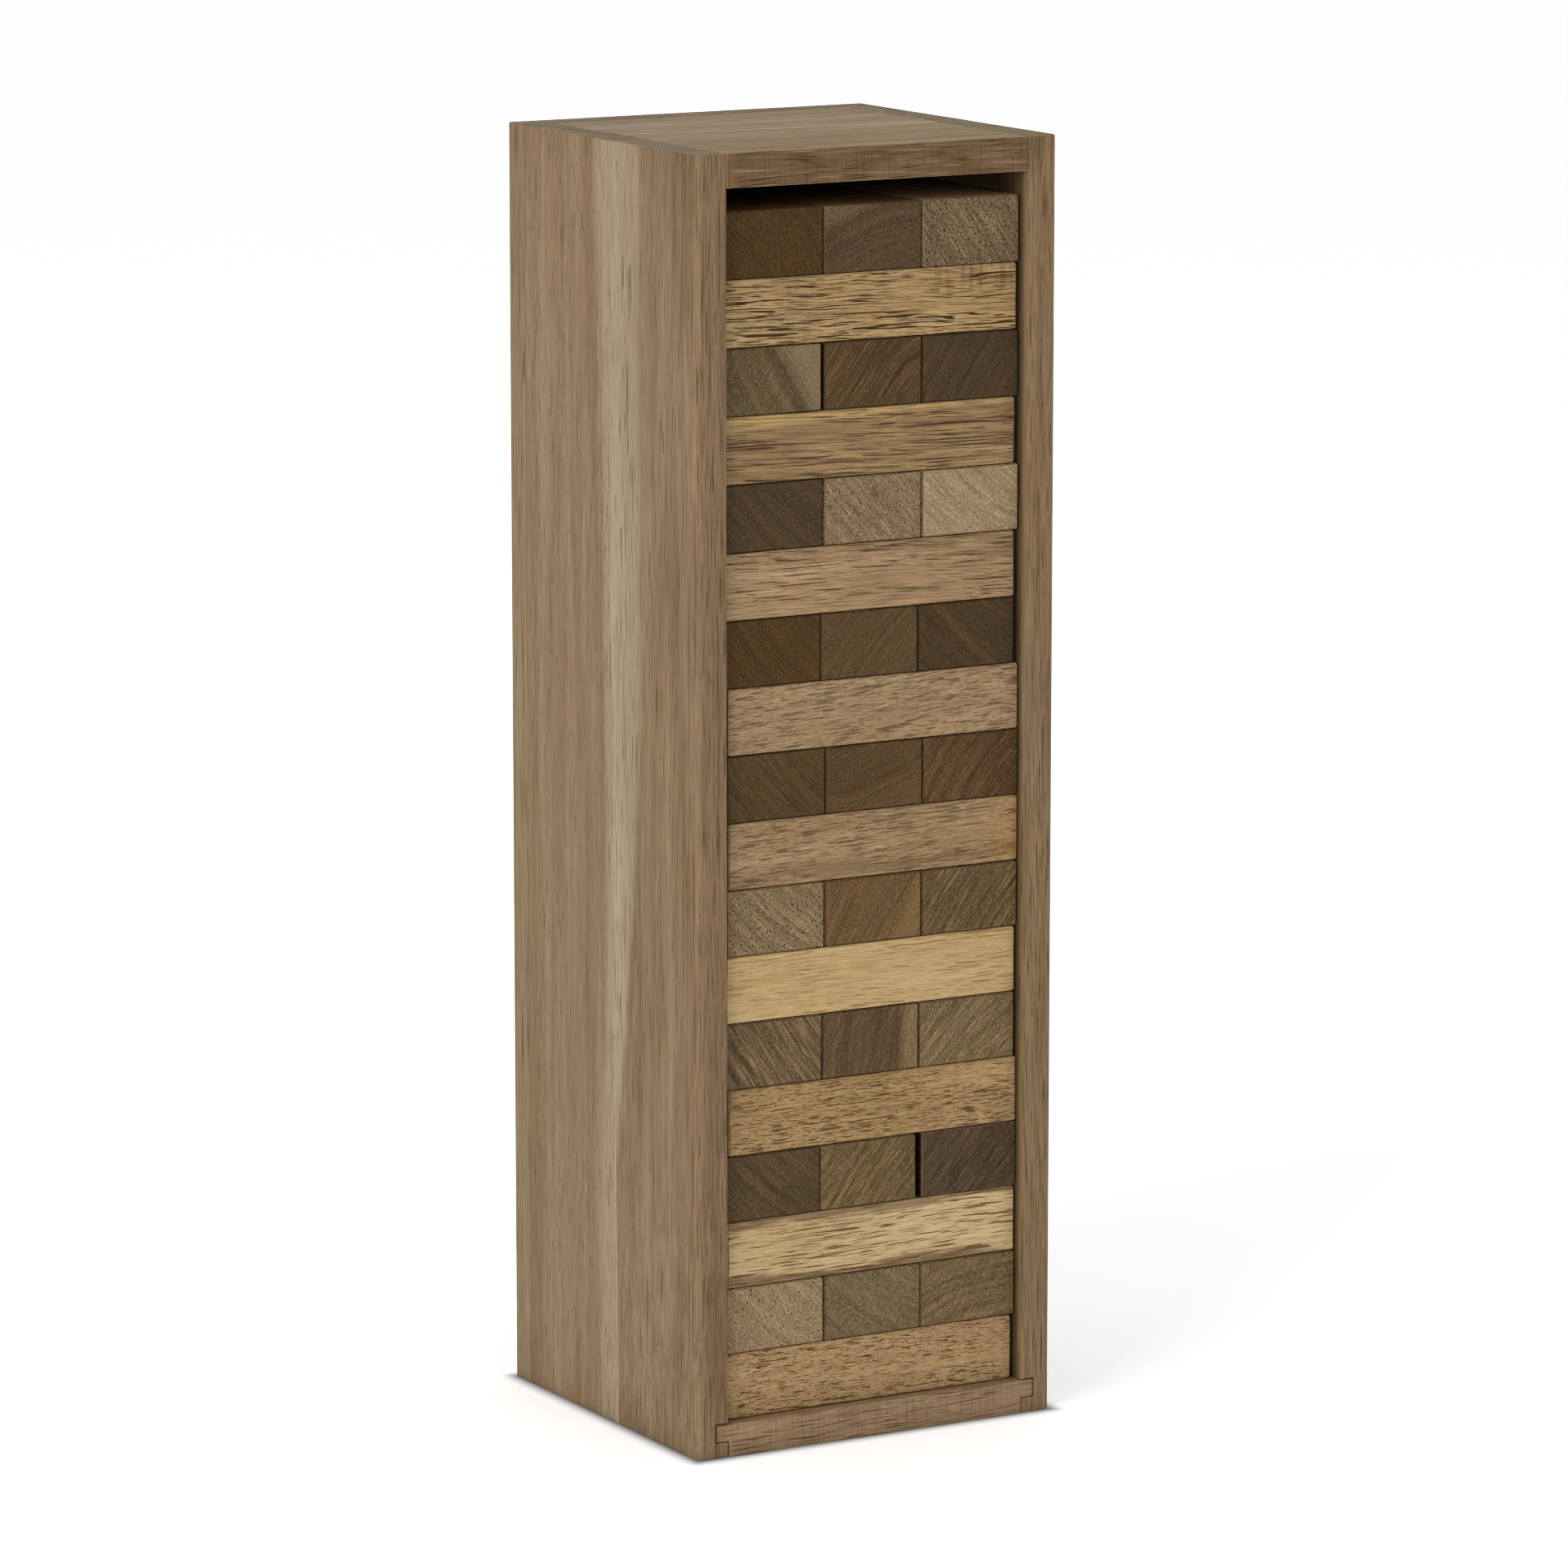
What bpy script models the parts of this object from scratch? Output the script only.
"""Giant tumbling tower in an upright, open-fronted wooden case.

Courses of three wooden blocks stand on a base board.  The base board slides
forward out of two grooves in the sides of the case and carries the tower with
it.  Odd courses lie across the case, even courses run front to back.

Frame: metres, +Z up, +X to the right and the open front towards -Y.  The
origin is the middle of the case's footprint, on the ground.
"""
import bpy
import bmesh
import math

# ---------------------------------------------------------------------- case
CASE_W = 0.185            # outside width, X
CASE_D = 0.174            # outside depth, Y
CASE_H = 0.585            # height, Z
SIDE_T = 0.0155           # thickness of the two sides
TOP_T = 0.0155            # thickness of the top panel
BACK_T = 0.015            # thickness of the back panel
GLUE = 0.0003             # glue line between fixed boards
FRONT_RADIUS = 0.0042     # rounding of the outer upright front corners
FRONT_STEPS = 5
BACK_RADIUS = 0.0012      # easing of the outer upright back corners
BACK_STEPS = 2
EASE = 0.0006             # easing of the sides' inner front edges and the top panel

X_OUT = CASE_W / 2                   # outer face of a side
X_IN = X_OUT - SIDE_T                # inner face of a side
Y_FRONT = -CASE_D / 2
Y_BACK = CASE_D / 2
Y_BACK_IN = Y_BACK - BACK_T          # inner face of the back panel
Y_GLUED = Y_BACK_IN - GLUE           # back edge of the sides and the top panel

# ------------------------------------------------------- base board and grooves
BASE_T = 0.0152           # thickness of the sliding base board
TONGUE_T = 0.0078         # tongue: the upper part of the board's side edge
TONGUE_W = 0.0056         # how far each tongue stands out into its groove
BASE_SIDE_PLAY = 0.0005   # play between the board below its tongues and a side
BASE_BACK_PLAY = 0.0006   # gap between the base board and the back panel
BASE_SHIFT = 0.0002       # the board sits this much to the right in its grooves
GROOVE_PLAY = 0.0004      # play above and below the tongue
GROOVE_DEPTH = 0.0062     # depth of the groove in each side
CUT_OVERRUN = 0.002       # how far a groove cutter stands clear of the wood

TONGUE_BOTTOM = BASE_T - TONGUE_T
GROOVE_TOP = BASE_T + GROOVE_PLAY
GROOVE_BOTTOM = TONGUE_BOTTOM - GROOVE_PLAY

# --------------------------------------------------------------------- tower
BLOCK_W = 0.0498          # block width
BLOCK_T = 0.0299          # block thickness
SIDE_GAP = 0.0003         # smallest gap between blocks of one course
BLOCK_L = 3 * BLOCK_W + 2 * SIDE_GAP    # three blocks side by side
REST_GAP = 0.0003         # gap below each course
BLOCK_CHAMFER = 0.0011    # eased edges of a block
RECESS = 0.0055           # the tower's front stands this far inside the case

PITCH = BLOCK_T + REST_GAP
TOWER_FRONT = Y_FRONT + RECESS
TOWER_BOTTOM = BASE_T + REST_GAP

# How each course lies, from the bottom up.  First column: gap between its right
# end and the right side.  Courses that run front to back also have the extra
# gaps between left and middle and between middle and right blocks.
COURSE_LAYOUT = (
    (0.0026,), (0.0009, 0.0006, 0.0),
    (0.0011,), (0.0005, 0.0, 0.0028),
    (0.0004,), (0.0019, 0.0001, 0.0003),
    (0.0016,), (0.0007, 0.0002, 0.0003),
    (0.0004,), (0.0004, 0.0003, 0.0002),
    (0.0005,), (0.0030, 0.0, 0.0002),
    (0.0029,), (0.0011, 0.0004, 0.0005),
    (0.0029,), (0.0014, 0.0012, 0.0002),
    (0.0024,), (0.0014, 0.0003, 0.0004),
)


# ------------------------------------------------------------------- helpers
def clear_scene():
    for ob in list(bpy.data.objects):
        bpy.data.objects.remove(ob, do_unlink=True)


def wood(name, rgb, roughness):
    mat = bpy.data.materials.new(name)
    mat.use_nodes = True
    bsdf = mat.node_tree.nodes["Principled BSDF"]
    bsdf.inputs["Base Color"].default_value = (*rgb, 1.0)
    bsdf.inputs["Roughness"].default_value = roughness
    bsdf.inputs["Metallic"].default_value = 0.0
    mat.diffuse_color = (*rgb, 1.0)
    return mat


def add_object(name, mesh, material=None, location=(0.0, 0.0, 0.0)):
    ob = bpy.data.objects.new(name, mesh)
    bpy.context.scene.collection.objects.link(ob)
    ob.location = location
    if material:
        mesh.materials.append(material)
    return ob


def mesh_from(bm, name):
    mesh = bpy.data.meshes.new(name)
    bm.to_mesh(mesh)
    bm.free()
    return mesh


def box_mesh(name, size):
    """A box of the given size about its own centre."""
    bm = bmesh.new()
    bmesh.ops.create_cube(bm, size=1.0)
    bmesh.ops.scale(bm, vec=size, verts=bm.verts)
    return mesh_from(bm, name)


def extruded_mesh(name, points, travel):
    """A solid swept from a closed flat outline of 3D points along travel."""
    bm = bmesh.new()
    face = bm.faces.new([bm.verts.new(point) for point in points])
    swept = bmesh.ops.extrude_face_region(bm, geom=[face])
    moved = [item for item in swept["geom"] if isinstance(item, bmesh.types.BMVert)]
    bmesh.ops.translate(bm, vec=travel, verts=moved)
    bmesh.ops.recalc_face_normals(bm, faces=bm.faces)
    return mesh_from(bm, name)


def upright_board(name, plan, material):
    """A board of the case's full height over an outline in X and Y."""
    points = [(x, y, 0.0) for x, y in plan]
    return add_object(name, extruded_mesh(name, points, (0.0, 0.0, CASE_H)), material)


def eased_box(name, size, centre, ease, material):
    """A box with all its edges bevelled."""
    ob = add_object(name, box_mesh(name, size), material, centre)
    bevel = ob.modifiers.new("eased_edges", "BEVEL")
    bevel.width = ease
    bevel.segments = 1
    bevel.limit_method = "ANGLE"
    bevel.angle_limit = math.radians(50)


def quarter_arc(centre_x, centre_y, radius, start_deg, steps):
    """Points of a quarter circle, counter-clockwise, both ends included."""
    angles = [math.radians(start_deg + 90 * i / steps) for i in range(steps + 1)]
    return [(centre_x + radius * math.cos(angle), centre_y + radius * math.sin(angle))
            for angle in angles]


# ---------------------------------------------------------------- case pieces
def groove_cutter(side_name, sign):
    """The bar that cuts one side's groove, overrunning the side's inner face
    and both of its ends."""
    width = GROOVE_DEPTH + CUT_OVERRUN
    length = Y_GLUED - Y_FRONT + 2 * CUT_OVERRUN
    mesh = box_mesh(side_name + "_groove", (width, length, GROOVE_TOP - GROOVE_BOTTOM))
    centre = (sign * (X_IN + GROOVE_DEPTH - width / 2),
              (Y_FRONT + Y_GLUED) / 2,
              (GROOVE_TOP + GROOVE_BOTTOM) / 2)
    cutter = add_object("cut_" + side_name, mesh, location=centre)
    cutter.hide_render = True
    cutter.display_type = "WIRE"
    return cutter


def side_panel(name, sign, material):
    """One side (sign +1 is the right): a full-height board in front of the back
    panel, its outer front corner rounded, with a groove for the base board's
    tongue low on its inner face.  The groove runs right through; the back panel
    closes it."""
    plan = [(X_IN, Y_FRONT + EASE), (X_IN + EASE, Y_FRONT)]
    plan += quarter_arc(X_OUT - FRONT_RADIUS, Y_FRONT + FRONT_RADIUS,
                        FRONT_RADIUS, -90, FRONT_STEPS)
    plan += [(X_OUT, Y_GLUED), (X_IN, Y_GLUED)]
    if sign < 0:
        plan = [(-x, y) for x, y in reversed(plan)]
    side = upright_board(name, plan, material)

    cut = side.modifiers.new("base_groove", "BOOLEAN")
    cut.operation = "DIFFERENCE"
    cut.solver = "EXACT"
    cut.object = groove_cutter(name, sign)


def top_panel(material):
    """The top, glued between the two sides."""
    size = (2 * (X_IN - GLUE), Y_GLUED - Y_FRONT, TOP_T)
    centre = (0.0, (Y_FRONT + Y_GLUED) / 2, CASE_H - TOP_T / 2)
    eased_box("top_panel", size, centre, EASE, material)


def back_panel(material):
    """The back: full width and height, glued over the back edges of the sides
    and the top panel, its two outer upright edges eased."""
    corner_x, corner_y = X_OUT - BACK_RADIUS, Y_BACK - BACK_RADIUS
    plan = [(-X_OUT, Y_BACK_IN), (X_OUT, Y_BACK_IN)]
    plan += quarter_arc(corner_x, corner_y, BACK_RADIUS, 0, BACK_STEPS)
    plan += quarter_arc(-corner_x, corner_y, BACK_RADIUS, 90, BACK_STEPS)
    upright_board("back_panel", plan, material)


def base_board(material):
    """The sliding base: a board whose side edges are stepped underneath, so
    that the upper part of each runs as a tongue in the case's groove."""
    half_low = X_IN - BASE_SIDE_PLAY
    half_top = X_IN + TONGUE_W
    right_edge = [(half_low, 0.0), (half_low, TONGUE_BOTTOM),
                  (half_top, TONGUE_BOTTOM), (half_top, BASE_T)]
    left_edge = [(-x, z) for x, z in reversed(right_edge)]
    # The outline starts at the lower left corner.
    section = left_edge[-1:] + right_edge + left_edge[:-1]
    points = [(x, 0.0, z) for x, z in section]
    length = Y_BACK_IN - BASE_BACK_PLAY - Y_FRONT
    mesh = extruded_mesh("base_board", points, (0.0, length, 0.0))
    add_object("base_board", mesh, material, (BASE_SHIFT, Y_FRONT, 0.0))


# --------------------------------------------------------------- tower courses
def across_course(prefix, right, z, material):
    """Three blocks lying across the case, their right ends at x = right."""
    for i, place in enumerate(("front", "middle", "back")):
        y = TOWER_FRONT + BLOCK_W / 2 + i * (BLOCK_W + SIDE_GAP)
        eased_box(prefix + place, (BLOCK_L, BLOCK_W, BLOCK_T),
                  (right - BLOCK_L / 2, y, z), BLOCK_CHAMFER, material)


def lengthwise_course(prefix, right, z, left_extra, right_extra, material):
    """Three blocks running front to back, the right one's side at x = right."""
    x_right = right - BLOCK_W / 2
    x_middle = x_right - BLOCK_W - SIDE_GAP - right_extra
    x_left = x_middle - BLOCK_W - SIDE_GAP - left_extra
    for place, x in (("left", x_left), ("middle", x_middle), ("right", x_right)):
        eased_box(prefix + place, (BLOCK_W, BLOCK_L, BLOCK_T),
                  (x, TOWER_FRONT + BLOCK_L / 2, z), BLOCK_CHAMFER, material)


def tower(across_material, lengthwise_material):
    for number, (right_gap, *extra_gaps) in enumerate(COURSE_LAYOUT, start=1):
        prefix = f"block_{number:02d}_"
        right = X_IN - right_gap
        z = TOWER_BOTTOM + (number - 1) * PITCH + BLOCK_T / 2
        if number % 2:
            across_course(prefix, right, z, across_material)
        else:
            lengthwise_course(prefix, right, z, *extra_gaps, lengthwise_material)


def build():
    clear_scene()
    case_wood = wood("case_wood", rgb=(0.36, 0.22, 0.11), roughness=0.5)
    top_wood = wood("top_wood", rgb=(0.38, 0.24, 0.12), roughness=0.5)
    base_wood = wood("base_wood", rgb=(0.34, 0.22, 0.12), roughness=0.55)
    # Warm acacia, darker where end grain faces the front.
    side_grain = wood("block_side_grain", rgb=(0.42, 0.24, 0.11), roughness=0.55)
    end_grain = wood("block_end_grain", rgb=(0.22, 0.13, 0.065), roughness=0.6)

    side_panel("left_side", -1, case_wood)
    side_panel("right_side", 1, case_wood)
    top_panel(top_wood)
    back_panel(case_wood)
    base_board(base_wood)
    tower(side_grain, end_grain)


build()
